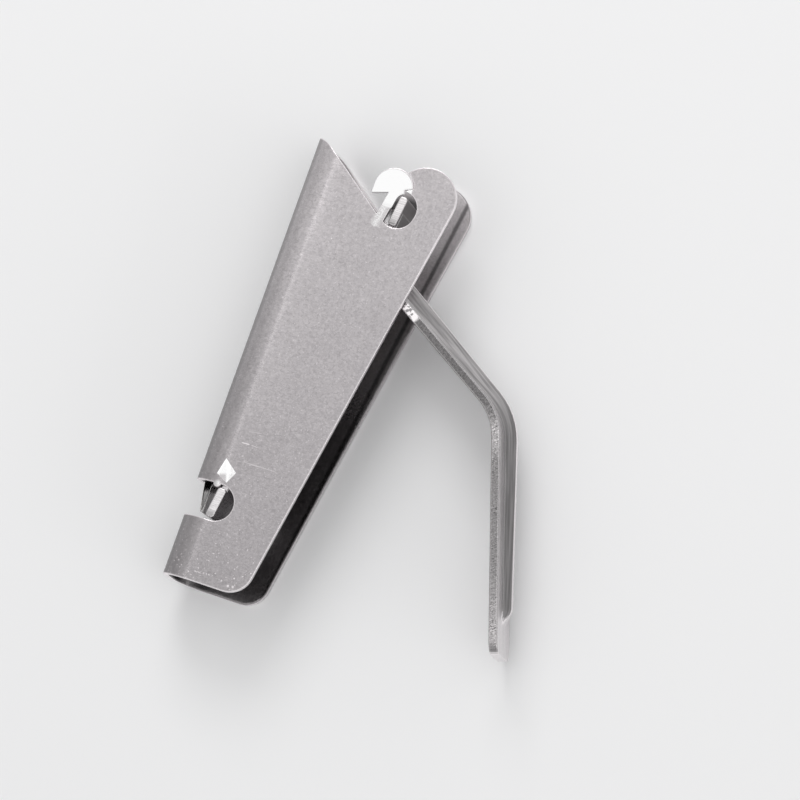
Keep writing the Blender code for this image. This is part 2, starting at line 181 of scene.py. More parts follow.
# A scuffed stroke on the front cheek's foot: start, end and width.
SCUFF = ((-6.9, -46.0), (-2.4, -45.7), 0.55)
SCUFF_BREAKS = {"scale": 3.4, "detail": 0.0, "roughness": 0.5}
SCUFF_LEVEL = (0.54, 0.62)
SCUFF_SHARE = 0.7
MARK_SHARE = 0.85
MARK_TONE = 0.85

# Inner faces: painted shade, darker in the fold and at the foot, with a painted dark reflection line and
# painted shade round the seat on the back cheek.
DEEP_RISE = (-8.0, 25.0)
DEEP_SHADE_TONE = (0.80, 1.00)
DEEP_REACH = 2.5
DEEP_FOLD_SHADE_TONE = (0.45, 1.0)
LINE_ACROSS = (0.990, -0.140)
LINE_PLACE = (8.94, -13.45)
LINE_REACH = (0.65, 0.20)
DARK_REFLECTION_TONE = 0.35
SEAT_PATCH = (5.5, 36.5)
SEAT_PATCH_REACH = 6.5
SEAT_PATCH_SOFT = 2.0
SEAT_SHADE_TONE = 0.16

# Cut walls and rims: edge wear with painted highlights, paler near the mouth, painted shade on inner rims,
# and a painted dark wall at the seat's left.
WALL_EAST = 0.2
WALL_SHARE = 0.95
WALL_RISE = (0.0, 30.0)
WALL_HIGHLIGHT_TONE = (0.74, 0.94)
ENDWISE_COSINES = (0.3, 0.5)
ENDWISE_TONE_COSINES = (0.3, 0.6)
MOUTH_RISE = (22.0, 28.0)
MOUTH_EAST = (12.0, 10.0)
WIDE_RIM = (0.60, 0.998, 0.92)
WIDE_RIM_SHARE = (0.35, 0.80)
WIDE_RIM_LIGHT_AND_SHADE_TONE = (0.75, 0.26, 0.9)
THIN_RIM = (0.35, 0.995, 0.92)
THIN_RIM_SHARE = (0.95, 0.25, 0.9)
RIM_TONE = 0.94
HOLLOW_REACH = 6.0
HOLLOW_SOFT = 0.5
HOLLOW_COSINES = (0.2, 0.5)
HOLLOW_TOP = (38.2, 37.2)
HOLLOW_SHADE_TONE = 0.06

# Burnished spots: head, brim, finger, nib and stake.
HEAD_SOFT, BRIM_SOFT, NIB_SOFT = 0.25, 0.3, 0.5
HEAD_RISE = (35.0, 36.9)
HEAD_SHARE = (0.55, 1.0)
FINGER_RUB = {"scale": 3.4, "detail": 1.0, "roughness": 0.5}
FINGER_SHARE = (0.30, 0.75)
NIB_SHARE = 0.7
STAKE_LINES = 3.2
STAKE_SEED = 2.0
STAKE_NOISE = {"scale": 1.0, "detail": 2.0, "roughness": 0.6}
STAKE_LEFT = (0.1, -0.3)
STAKE_LOW = (0.3, -0.3)
STAKE_SHADE = 0.75
STAKE_RIGHT = (0.2, 0.9)
STAKE_LINE_SHADE = (0.0, 0.5)
STAKE_LEAN = 0.6

# The sheet's roughness, rounding and lean.
SKIN_ROUGH_REACH = 2.0
SKIN_ROUGH = (0.235, 0.36)
INNER_ROUGH_RISE = (-8.0, 20.0)
INNER_ROUGH = (0.25, 0.38)
MOUTH_ROUGH = 0.60
BODY_ROUNDING = (0.22, 0.80)
MOUTH_LEAN = 0.65

BODY_TINT = (1.0, 0.95, 0.97)
HANDLE_TINT = (1.0, 0.965, 0.975)
PRESSER_TINT = (1.0, 0.97, 0.98)
SPRING_TINT = (1.0, 0.99, 0.98)

# Every steel: burnished tone and roughness, and how far the grain goes into the rest.
POLISHED_TONE = (0.97, 0.97, 0.97, 1.0)
POLISHED_ROUGH = 0.13
GRAIN_ROUGH = (-0.03, 0.03)
POLISHED_RELIEF = 0.15
RELIEF = 0.015
SPRING_RELIEF = 0.006

# Strips: grain, and the bars across their ears and edges.
STRIP_GRAIN = {"scale": 2.6, "detail": 2.0, "roughness": 0.7}
BARS = {"scale": 1.0, "detail": 1.0, "roughness": 0.5}
BARS_SEED = 5.0

# Handle's broad faces: lines drawn along it, painted shade on the rib flanks and painted highlights on the
# lips by how they face, and painted shade near the pivot.
DRAWN = {"scale": 1.0, "detail": 2.0, "roughness": 0.6}
DRAWN_LENGTH = 14.0
DRAWN_LINES = 3.2
DRAWN_GRAIN, DRAWN_SHARE = 0.4, 0.6
BROAD_TONE = (0.60, 0.98)
FLANK_COSINES = (0.25, 0.45, 0.93, 0.97)
FLANK_RUN = (0.0, 8.0)
ARM_FLANK_SHADE_TONE = (0.30, 0.60)
GRIP_FLANK_SHADE_TONE = (0.20, 0.34)
LIP_COSINES = (0.06, 0.16, 0.30, 0.42)
LIP_HIGHLIGHT_TONE = 0.97
KNEE_REACH = 5.5
KNEE_SOFT = 1.0
KNEE_SHARE = 0.85
KNEE_SHADE_TONE = 0.08

# Handle's sheared edges, by the distance along the strip.
SHEAR_PITCH = 0.20
ARM_EDGE_TONE = (0.07, 0.28)
GRIP_EDGE_TONE = (0.06, 0.46)
EDGE_RUN = (0.0, 6.0)
KNUCKLE_RUN = (4.0, 8.0, 10.0, 14.0)
KNUCKLE_SHARE = 0.9
LOW_RUN = (34.0, 50.0)
EDGE_LIFT = 1.8
GLINT_LEVEL = (0.68, 0.90)
GLINT_SHARE = 0.85
GLINT_TONE = 0.97
ROOT_GLINT_RUN = (-26.2, -25.6, -21.1, -20.5)
ROOT_GLINT_BLOTS = {"scale": 1.5, "detail": 1.0, "roughness": 0.5}
ROOT_GLINT_LEVEL = (0.50, 0.62)
ROOT_GLINT_TONE = (0.95, 0.30)
TIP_RUN = (51.5, 54.5)
TIP_EDGE_SHARE = 0.8
TIP_EDGE_HIGHLIGHT_TONE = 0.85
TIP_HIGHLIGHT_TONE = 0.90
EAR_SOFT = 0.3
EAR_LINES = 3.0
EAR_ACROSS = (0.12, 0.99)
EAR_FALL = (-0.6, -3.0)
EAR_SHADE = (0.0, 0.42)
EAR_TONE = (0.62, 0.92)
HANDLE_RIM = (0.34, 0.995, 0.92)
HANDLE_RIM_SHARE = 0.9
STRIP_RIM_TONE = 0.90
HANDLE_ROUGH, HANDLE_LIP_ROUGH, HANDLE_EDGE_ROUGH = 0.32, 0.50, 0.27
HANDLE_ROUNDING = 0.40

# How the sheared edges' cross lines are drawn.
SHEAR_SLANT = 0.45
SHEAR_WAVES = {"scale": 1.6, "detail": 2.0}
SHEAR_WAVE = 0.6
SHEAR_FINE = {"detail": 1.0, "roughness": 0.5}
SHEAR_FINE_SEED, SHEAR_DEPTH_SEED = 3.0, 8.0
SHEAR_SPECKS = {"scale": 3.2, "detail": 1.0, "roughness": 0.6}
SHEAR_FINE_SHARE, SHEAR_SPECK_SHARE = 0.6, 0.4
SHEAR_PATCHES = {"scale": 0.30, "detail": 1.0, "roughness": 0.5}
SHEAR_PATCH_LEVEL = (0.40, 0.62)
SHEAR_PATCH_DEPTH = (0.45, 1.0)
SHEAR_DEPTH = 4.0

# Presser plate.
PRESSER_LINES = (0.8, 3.2)
PRESSER_LINE_LEVEL = (0.32, 0.68)
PRESSER_EDGE_TONE = (0.62, 0.84)
PRESSER_TONE = (0.40, 0.54)
PRESSER_FOOT = (1.4, 2.2)
PRESSER_FOOT_SHARE = 0.55
PRESSER_FOOT_TONE = 0.20
PRESSER_RIM = (0.30, 0.995, 0.92)
PRESSER_RIM_SHARE = 0.95
PRESSER_ROUGH = (0.22, 0.26)
PRESSER_ROUNDING = 0.25

# Spring.
SPRING_LINES = (1.0, 0.12, 2.4)
SPRING_GRAIN = {"scale": 1.0, "detail": 3.0, "roughness": 0.6}
SPRING_TONE = (0.66, 0.84)
SPRING_RIM = (0.15, 0.995, 0.85)
SPRING_RIM_SHARE = 0.9
SPRING_RIM_TONE = 0.94
SPRING_ROUGH = 0.20


def from_fold(steps):
    """Places at steps east of the fold's edge, in millimetres."""
    return tuple(FOLD_EDGE + step for step in steps)


class Nodes:
    """Short calls for building a material's nodes."""

    def __init__(self, name):
        self.material = bpy.data.materials.new(name)
        self.material.use_nodes = True
        self.tree = self.material.node_tree
        self.shader = self.tree.nodes["Principled BSDF"]

    def add(self, kind, links=None, **settings):
        node = self.tree.nodes.new(kind)
        for key, value in settings.items():
            setattr(node, key, value)
        for name, value in (links or {}).items():
            self.feed(node.inputs[name], value)
        return node

    def feed(self, socket, value):
        if isinstance(value, bpy.types.NodeSocket):
            self.tree.links.new(value, socket)
        else:
            socket.default_value = value

    def set(self, **values):
        for name, value in values.items():
            self.feed(self.shader.inputs[name.replace("_", " ")], value)

    def math(self, operation, first, second=0.0):
        node = self.add("ShaderNodeMath", operation=operation)
        self.feed(node.inputs[0], first)
        self.feed(node.inputs[1], second)
        return node.outputs[0]

    def most(self, *values):
        result = values[0]
        for value in values[1:]:
            result = self.math("MAXIMUM", result, value)
        return result

    def both(self, *values):
        result = values[0]
        for value in values[1:]:
            result = self.math("MULTIPLY", result, value)
        return result

    def span(self, value, low, high, to_low=0.0, to_high=1.0):
        links = {"Value": value, "From Min": low, "From Max": high, "To Min": to_low, "To Max": to_high}
        return self.add("ShaderNodeMapRange", links).outputs["Result"]

    def hill(self, value, start, full, fall, end):
        """1 from full to fall, sloping to 0 at start and at end."""
        return self.both(self.span(value, start, full), self.span(value, end, fall))

    def blend(self, factor, first, second):
        """Go from a first number to a second by a factor."""
        node = self.add("ShaderNodeMix", data_type="FLOAT")
        self.feed(node.inputs["Factor"], factor)
        self.feed(node.inputs["A"], first)
        self.feed(node.inputs["B"], second)
        return node.outputs["Result"]

    def mix(self, factor, first, second):
        """Go from a first colour to a second by a factor."""
        node = self.add("ShaderNodeMix", data_type="RGBA")
        sockets = {socket.identifier: socket for socket in node.inputs}
        self.feed(sockets["Factor_Float"], factor)
        self.feed(sockets["A_Color"], first)
        self.feed(sockets["B_Color"], second)
        return node.outputs["Result"]

    def bump(self, height, distance, normal=None):
        links = {"Height": height, "Distance": distance}
        if normal is not None:
            links["Normal"] = normal
        return self.add("ShaderNodeBump", links).outputs["Normal"]

    def vector(self, operation, first, second=None, output="Vector"):
        node = self.add("ShaderNodeVectorMath", operation=operation)
        self.feed(node.inputs[0], first)
        if second is not None:
            self.feed(node.inputs["Scale" if operation == "SCALE" else 1], second)
        return node.outputs[output]

    def lean(self, share, first, second):
        """A normal turned from a first towards a second by a share."""
        node = self.add("ShaderNodeMix", data_type="VECTOR")
        sockets = {socket.identifier: socket for socket in node.inputs}
        self.feed(sockets["Factor_Float"], share)
        self.feed(sockets["A_Vector"], first)
        self.feed(sockets["B_Vector"], second)
        result = {socket.identifier: socket for socket in node.outputs}["Result_Vector"]
        return self.vector("NORMALIZE", result)

    def rounded(self, radius):
        """The normal of a surface whose edges are rounded over a radius in millimetres."""
        size = self.both(radius, MM) if isinstance(radius, bpy.types.NodeSocket) else radius * MM
        return self.add("ShaderNodeBevel", {"Radius": size}, samples=BEVEL_SAMPLES).outputs["Normal"]

    def folded(self, own):
        """The smooth normal of the folded sheet's two skins, with its own normal on cuts and rims."""
        rise = self.math("SUBTRACT", self.axis("Z"), MIDDLE_HIGH)
        high = self.math("SUBTRACT", self.math("ABSOLUTE", rise), FOLD_CORE)
        high = self.both(self.math("MAXIMUM", high, TINY), self.math("SIGN", rise))
        skin = self.vector("NORMALIZE", self.spot(self.past_fold(), 0.0, high))
        along = self.vector("DOT_PRODUCT", own, skin, "Value")
        skin = self.vector("SCALE", skin, self.math("SIGN", along))
        return self.lean(self.span(self.math("ABSOLUTE", along), *SKIN_COSINES), own, skin)

    def axis(self, which):
        """One of the part's own coordinates, in millimetres."""
        where = self.add("ShaderNodeTexCoord").outputs["Object"]
        part = self.add("ShaderNodeSeparateXYZ", {"Vector": where}).outputs[which]
        return self.math("MULTIPLY", part, 1.0 / MM)

    def facing(self, which):
        """How far the surface faces along an axis, from -1 to 1."""
        where = self.add("ShaderNodeTexCoord").outputs["Normal"]
        return self.add("ShaderNodeSeparateXYZ", {"Vector": where}).outputs[which]

    def turned(self, which):
        """How far the surface faces along an axis either way, from 0 to 1."""
        return self.math("ABSOLUTE", self.facing(which))

    def spot(self, east, north, high=0.0):
        return self.add("ShaderNodeCombineXYZ", {"X": east, "Y": north, "Z": high}).outputs["Vector"]

    def noise(self, scale, detail=3.0, roughness=0.6, place=None, distortion=0.0):
        """Noise with features of 1 / scale millimetres."""
        if place is None:
            where = self.add("ShaderNodeTexCoord").outputs["Object"]
            size = (1.0 / MM, 1.0 / MM, 1.0 / MM)
            place = self.add("ShaderNodeMapping", {"Vector": where, "Scale": size}).outputs["Vector"]
        links = {"Vector": place, "Scale": scale, "Detail": detail, "Roughness": roughness,
                 "Distortion": distortion}
        return self.add("ShaderNodeTexNoise", links).outputs["Fac"]

    def near(self, place, reach, soft):
        """1 within a reach of a place in the XY plane, 0 beyond it, with a soft rim."""
        east = self.math("SUBTRACT", self.axis("X"), place[0])
        north = self.math("SUBTRACT", self.axis("Y"), place[1])
        square = self.math("ADD", self.math("POWER", east, 2.0), self.math("POWER", north, 2.0))
        return self.span(self.math("SQRT", square), reach, reach - soft)

    def across(self, way, centre):
        """Distance along a way in the XY plane from a centre, in millimetres."""
        east = self.math("MULTIPLY", self.math("SUBTRACT", self.axis("X"), centre[0]), way[0])
        north = self.math("MULTIPLY", self.math("SUBTRACT", self.axis("Y"), centre[1]), way[1])
        return self.math("ADD", east, north)

    def inside(self, corners):
        """1 inside a convex outline given clockwise in the XY plane."""
        result = None
        for start, end in zip(corners, corners[1:] + corners[:1]):
            way = (Vector(end) - Vector(start)).normalized()
            edge = self.across((way.y, -way.x), start)
            edge = self.span(edge, -OUTLINE_SOFT / 2, OUTLINE_SOFT / 2)
            result = edge if result is None else self.math("MINIMUM", result, edge)
        return result

    def stroke(self, start, end, width):
        """1 along a straight stroke in the XY plane that narrows at both ends."""
        way = Vector(end) - Vector(start)
        length = way.length
        way.normalize()
        along = self.across((way.x, way.y), start)
        aside = self.math("ABSOLUTE", self.across((way.y, -way.x), start))
        ends = self.math("MINIMUM", self.span(along, 0.0, STROKE_SOFT),
                         self.span(along, length, length - STROKE_SOFT))
        half = self.math("MULTIPLY", ends, width / 2)
        return self.span(self.math("SUBTRACT", aside, half), 0.0, -width * STROKE_SIDE)

    def streaks(self, angle, length, width, low, high, seed):
        """Sparse thin scratches lying in one direction of the XY plane."""
        where = self.add("ShaderNodeTexCoord").outputs["Object"]
        turn = (0.0, 0.0, math.radians(-angle))
        turned = self.add("ShaderNodeMapping", {"Vector": where, "Rotation": turn}).outputs["Vector"]
        scale = (1.0 / MM / length, 1.0 / MM / width, 1.0 / MM / width)
        drawn = {"Vector": turned, "Scale": scale, "Location": tuple(seed * part for part in STREAK_SEEDS)}
        squeezed = self.add("ShaderNodeMapping", drawn).outputs["Vector"]
        noise = self.noise(scale=1.0, detail=1.0, roughness=0.5, place=squeezed, distortion=0.25)
        return self.span(noise, low, high)

    # An edge mask that carries both edge wear and painted highlights on rims.
    def edge_wear_and_highlight(self, radius, low, high):
        """1 along edges, fading over a radius in millimetres, between two cosines."""
        true = self.add("ShaderNodeNewGeometry").outputs["Normal"]
        return self.span(self.vector("DOT_PRODUCT", true, self.rounded(radius), "Value"), low, high)

    def height(self):
        """Distance from the plane halfway between the cheeks, in millimetres."""
        return self.math("ABSOLUTE", self.math("SUBTRACT", self.axis("Z"), MIDDLE_HIGH))

    def past_fold(self):
        """Distance west of the fold's edge, below 0, in millimetres."""
        return self.math("MINIMUM", self.math("SUBTRACT", self.axis("X"), FOLD_EDGE), 0.0)

    def outside(self):
        """1 on the outer skin of the folded sheet, 0 on its inner skin."""
        high = self.math("MAXIMUM", self.math("SUBTRACT", self.height(), FOLD_CORE), 0.0)
        east = self.math("POWER", self.past_fold(), 2.0)
        square = self.math("ADD", self.math("POWER", high, 2.0), east)
        return self.span(self.math("SQRT", square), *(FOLD_RADIUS - depth for depth in SKIN_DEPTHS))

    def sheared(self):
        """1 on a strip's sheared edges, which face along Z at its full width."""
        wide = self.span(self.height(), *(STRIP_HALF - depth for depth in SHEARED_DEPTHS))
        return self.both(self.span(self.turned("Z"), *FLAT_COSINES), wide)

    def run(self):
        """Distance along the handle's strip from the start of its knuckle, in millimetres."""
        before = self.math("MINIMUM", self.across(ARM_WAY, KNUCKLE_CENTRE), 0.0)
        after = self.math("MAXIMUM", self.across(GRIP_WAY, KNUCKLE_CENTRE), 0.0)
        spoke = (-ARM_WAY[1], ARM_WAY[0])
        angle = self.math("ARCTAN2", self.across(ARM_WAY, KNUCKLE_CENTRE),
                          self.across(spoke, KNUCKLE_CENTRE))
        bend = math.radians(KNUCKLE_TURN)
        angle = self.math("MULTIPLY", self.span(angle, 0.0, bend, 0.0, bend), KNUCKLE_RADIUS)
        return self.math("ADD", self.math("ADD", before, after), angle)

    def shear(self, run):
        """Fine lines that cross a sheared edge, about 0 to 1, from the distance along it."""
        slant = self.math("ADD", run, self.both(self.axis("X"), SHEAR_SLANT))
        wavy = self.math("ADD", slant, self.both(self.noise(**SHEAR_WAVES), SHEAR_WAVE))
        fine = self.noise(1.0 / SHEAR_PITCH, place=self.spot(wavy, 0.0, SHEAR_FINE_SEED), **SHEAR_FINE)
        specks = self.noise(**SHEAR_SPECKS)
        mixed = self.math("ADD", self.both(fine, SHEAR_FINE_SHARE), self.both(specks, SHEAR_SPECK_SHARE))
        patches = self.noise(place=self.spot(run, 0.0, SHEAR_DEPTH_SEED), **SHEAR_PATCHES)
        depth = self.span(patches, *SHEAR_PATCH_LEVEL, *SHEAR_PATCH_DEPTH)
        middle = 0.5
        swing = self.both(self.math("SUBTRACT", mixed, middle), depth, SHEAR_DEPTH)
        return self.math("ADD", swing, middle)


def steel(made, tone, tint, rough, grain, polished=0.0, relief=RELIEF, normal=None):
    """Finish a steel from its tone, its grain from 0 to 1 and the share that is polished."""
    colour = made.mix(polished, made.vector("SCALE", tint, tone), POLISHED_TONE)
    gloss = made.math("ADD", rough, made.span(grain, *MOST, *GRAIN_ROUGH))
    gloss = made.blend(polished, gloss, POLISHED_ROUGH)
    height = made.math("MULTIPLY", grain, made.span(polished, 0.0, 1.0, 1.0, POLISHED_RELIEF))
    normal = made.bump(height, relief * MM, normal)
    made.set(Base_Color=colour, Metallic=1.0, Roughness=gloss, Normal=normal)
    return made.material


def painted_fold_light_and_shade(made, tone, east, north):
    """Painted light and shade over the fold: a ridge of wear and painted highlight, a painted paler band,
    painted shade on the outer side.
    """
    ridge = made.hill(east, *from_fold(RIDGE_STEPS))
    ridge = made.both(ridge, made.span(north, *RIDGE_RISE, *RIDGE_WEAR_AND_HIGHLIGHT_LIFT))
    band = made.hill(east, *from_fold(BAND_STEPS))
    band = made.both(band, made.span(north, *BAND_RISE, *BAND_HIGHLIGHT_LIFT))
    tone = made.both(tone, made.math("ADD", made.math("ADD", 1.0, ridge), band))
    tone = made.both(tone, made.span(east, *from_fold(OUTER_STEPS), *OUTER_SHADE_TONE))
    shade = made.span(east, *from_fold(SHADE_STEPS), *SHADE_TONE)
    return made.both(tone, shade, made.span(east, *from_fold(CALM_STEPS), *CALM_TONE))


def fine_cuts(made, tone, north, by_fold):
    """Short cuts all over the sheet, and bright flecks, most of them near the foot."""
    cuts = made.most(*(made.streaks(*cut) for cut in CUTS))
    cuts = made.both(cuts, made.blend(by_fold, CUT_FAR, 1.0))
    flecks = made.span(made.noise(**FLECKS), *FLECK_LEVEL)
    flecks = made.both(flecks, made.span(north, *FLECK_RISE, *FLECK_SHARE))
    return made.blend(made.most(flecks, made.both(cuts, CUT_SHARE)), tone, FLECK_TONE)


def single_marks(made, tone, front):
    """The scratches, dents and scuff that the front cheek has at its own places."""
    scratches = [made.both(made.stroke(start, end, width), strength)
                 for start, end, width, strength in SCRATCHES]
    dents = [made.near(place, reach, reach * DENT_SOFT) for place, reach in DENTS]
    scuff = made.both(made.stroke(*SCUFF), made.span(made.noise(**SCUFF_BREAKS), *SCUFF_LEVEL))
    marks = made.most(*scratches, *dents, made.both(scuff, SCUFF_SHARE))
    return made.blend(made.both(marks, front, MARK_SHARE), tone, MARK_TONE)


def painted_inner_shade(made, tone, east, north, inside):
    """Painted shade on the inner faces, with a painted dark reflection line on the back cheek and painted
    shade round its seat.
    """
    back = made.span(made.axis("Z"), *BACK_HEIGHTS)
    by_edge = made.span(east, FOLD_EDGE, FOLD_EDGE + DEEP_REACH, *DEEP_FOLD_SHADE_TONE)
    deep_shade = made.both(made.span(north, *DEEP_RISE, *DEEP_SHADE_TONE), by_edge)
    # A painted dark reflection line on the back cheek.
    line = made.math("ABSOLUTE", made.across(LINE_ACROSS, LINE_PLACE))
    line = made.both(made.span(line, *LINE_REACH), back)
    deep_shade = made.both(deep_shade, made.blend(line, 1.0, DARK_REFLECTION_TONE))
    # Painted shade round the seat on the back cheek.
    patch = made.both(made.near(SEAT_PATCH, SEAT_PATCH_REACH, SEAT_PATCH_SOFT), back)
    deep_shade = made.both(deep_shade, made.blend(patch, 1.0, SEAT_SHADE_TONE))
    return made.both(tone, made.blend(inside, 1.0, deep_shade))


def cut_walls(made, east):
    """1 on the walls of the sheet's cuts."""
    walls = made.both(made.span(made.turned("Z"), *WALL_COSINES),
                      made.span(east, FOLD_EDGE - WALL_EAST, FOLD_EDGE + WALL_EAST))
    return made.most(walls, made.span(made.turned("Y"), *ENDWISE_COSINES))


def rim_wear_and_painted_light(made, tone, north, inside, mouth, walls):
    """Cut walls and rims: edge wear with painted highlights, painted light near the mouth and painted
    shade on the inner rims.
    """
    endwise = made.span(made.turned("Y"), *ENDWISE_TONE_COSINES)
    pale = made.most(made.span(north, *WALL_RISE, *WALL_HIGHLIGHT_TONE), endwise)
    tone = made.blend(made.both(walls, WALL_SHARE), tone, pale)
    outer, inner, by_mouth = WIDE_RIM_LIGHT_AND_SHADE_TONE
    wide = made.both(made.edge_wear_and_highlight(*WIDE_RIM), made.blend(inside, *WIDE_RIM_SHARE))
    tone = made.blend(wide, tone, made.blend(inside, outer, made.blend(mouth, inner, by_mouth)))
    outer, inner, by_mouth = THIN_RIM_SHARE
    thin = made.blend(inside, outer, made.blend(mouth, inner, by_mouth))
    return made.blend(made.both(made.edge_wear_and_highlight(*THIN_RIM), thin), tone, RIM_TONE)


def seat_painted_shade(made, tone, north, walls, front):
    """Painted shade: the dark wall at the left of the front seat."""
    hollow = made.both(made.near(PIVOT, HOLLOW_REACH, HOLLOW_SOFT),
                       made.span(made.facing("X"), *HOLLOW_COSINES), made.span(north, *HOLLOW_TOP))
    return made.blend(made.both(hollow, walls, front), tone, HOLLOW_SHADE_TONE)


def burnished_spots(made, north):
    """The share that is burnished on head, brim, finger and nib."""
    rub = made.span(made.noise(**FINGER_RUB), *CORE, *FINGER_SHARE)
    finger = made.both(made.stroke(*FINGER, FINGER_HALF * 2), rub)
    head = made.most(made.near(HEAD, HEAD_REACH, HEAD_SOFT), made.near(BRIM, BRIM_REACH, BRIM_SOFT))
    head = made.both(head, made.span(north, *HEAD_RISE, *HEAD_SHARE))
    return made.most(head, finger, made.both(made.near(NIB, NIB_REACH, NIB_SOFT), NIB_SHARE))


def stake_shade(made):
    """Shade in the stake: dark at its lower left, and dark lines at its right."""
    aside = made.across(STAKE_ACROSS, STAKE_MIDDLE)
    along = made.across(STAKE_ALONG, STAKE_MIDDLE)
    lines = made.noise(place=made.spot(made.both(aside, STAKE_LINES), STAKE_SEED), **STAKE_NOISE)
    shaded = made.both(made.span(aside, *STAKE_LEFT), made.span(along, *STAKE_LOW), STAKE_SHADE)
    right = made.both(made.span(aside, *STAKE_RIGHT), made.span(lines, *CORE, *STAKE_LINE_SHADE))
    return made.most(shaded, right)


def body_steel():
    """Tumbled sheet: fine grain, hatch and scratches, bright rims, and burnished spots."""
    made = Nodes("body_steel")
    east, north = made.axis("X"), made.axis("Y")
    outside = made.outside()
    front = made.both(outside, made.span(made.axis("Z"), *FRONT_HEIGHTS))
    inside = made.math("SUBTRACT", 1.0, outside)
    walls = cut_walls(made, east)
    mouth = made.both(made.span(north, *MOUTH_RISE), made.span(east, *MOUTH_EAST))

    by_fold = made.both(made.span(east, FOLD_EDGE + HATCH_REACH, FOLD_EDGE), made.span(north, *HATCH_RISE))
    hatch = made.both(made.streaks(**CHEEK_HATCH), made.blend(by_fold, HATCH_FAR, 1.0))
    cloud = made.both(made.noise(**CHEEK_CLOUD), CLOUD_SHARE)
    faint = made.math("ADD", made.both(hatch, HATCH_SHARE), cloud)
    level = made.math("ADD", made.both(made.noise(**CHEEK_GRAIN), GRAIN_SHARE), faint)

    tone = made.span(north, *BODY_ENDS, *CHEEK_TONE)
    tone = made.both(tone, made.span(level, *MOST, *SPECKLE))
    # Painted light and shade over the fold.
    tone = painted_fold_light_and_shade(made, tone, east, north)
    tone = fine_cuts(made, tone, north, by_fold)
    tone = single_marks(made, tone, front)
    # Painted shade on the inner faces, with a painted dark reflection line and painted shade round the
    # seat.
    tone = painted_inner_shade(made, tone, east, north, inside)
    # Edge wear with painted highlights on walls and rims, and painted shade on the inner rims.
    tone = rim_wear_and_painted_light(made, tone, north, inside, mouth, walls)
    # Painted shade on the wall at the left of the front seat.
    tone = seat_painted_shade(made, tone, north, walls, front)

    stake = made.inside(STAKE)
    staked = made.both(stake, made.math("SUBTRACT", 1.0, stake_shade(made)))
    polished = made.both(made.most(burnished_spots(made, north), staked), outside)

    rough = made.blend(inside, made.span(east, FOLD_EDGE, FOLD_EDGE - SKIN_ROUGH_REACH, *SKIN_ROUGH),
                       made.span(north, *INNER_ROUGH_RISE, *INNER_ROUGH))
    rims = made.most(walls, made.both(inside, made.edge_wear_and_highlight(*WIDE_RIM)))
    rough = made.blend(made.both(rims, mouth), rough, MOUTH_ROUGH)
    normal = made.folded(made.rounded(made.blend(made.most(inside, walls), *BODY_ROUNDING)))
    leaning = made.most(made.both(stake, STAKE_LEAN), made.both(walls, mouth, front, MOUTH_LEAN))
    normal = made.lean(leaning, normal, UP)
    return steel(made, tone, BODY_TINT, rough, level, polished, normal=normal)


def handle_edge(made, run, lines):
    """Tone of the handle's sheared edges, with painted glints at the knuckle and a painted highlight at
    the arm's root.
    """
    edge = made.blend(made.span(run, *EDGE_RUN), made.span(lines, 0.0, 1.0, *ARM_EDGE_TONE),
                      made.span(lines, 0.0, 1.0, *GRIP_EDGE_TONE))
    knuckle = made.hill(run, *KNUCKLE_RUN)
    lifted = made.most(made.both(knuckle, KNUCKLE_SHARE), made.span(run, *LOW_RUN))
    edge = made.both(edge, made.blend(lifted, 1.0, EDGE_LIFT))
    glints = made.both(knuckle, made.span(lines, *GLINT_LEVEL), GLINT_SHARE)
    edge = made.blend(glints, edge, GLINT_TONE)
    # A painted highlight with dark spots on the edge at the arm's root.
    blots = made.span(made.noise(**ROOT_GLINT_BLOTS), *ROOT_GLINT_LEVEL, *ROOT_GLINT_TONE)
    return made.blend(made.hill(run, *ROOT_GLINT_RUN), edge, blots)


def handle_ear(made):
    """Tone of the handle's ears: pale with cross bars, darker below."""
    place = made.spot(0.0, made.both(made.axis("Y"), EAR_LINES), BARS_SEED)
    pale = made.span(made.noise(place=place, **BARS), *CORE, *EAR_TONE)
    return made.math("SUBTRACT", pale, made.span(made.across(EAR_ACROSS, PIVOT), *EAR_FALL, *EAR_SHADE))


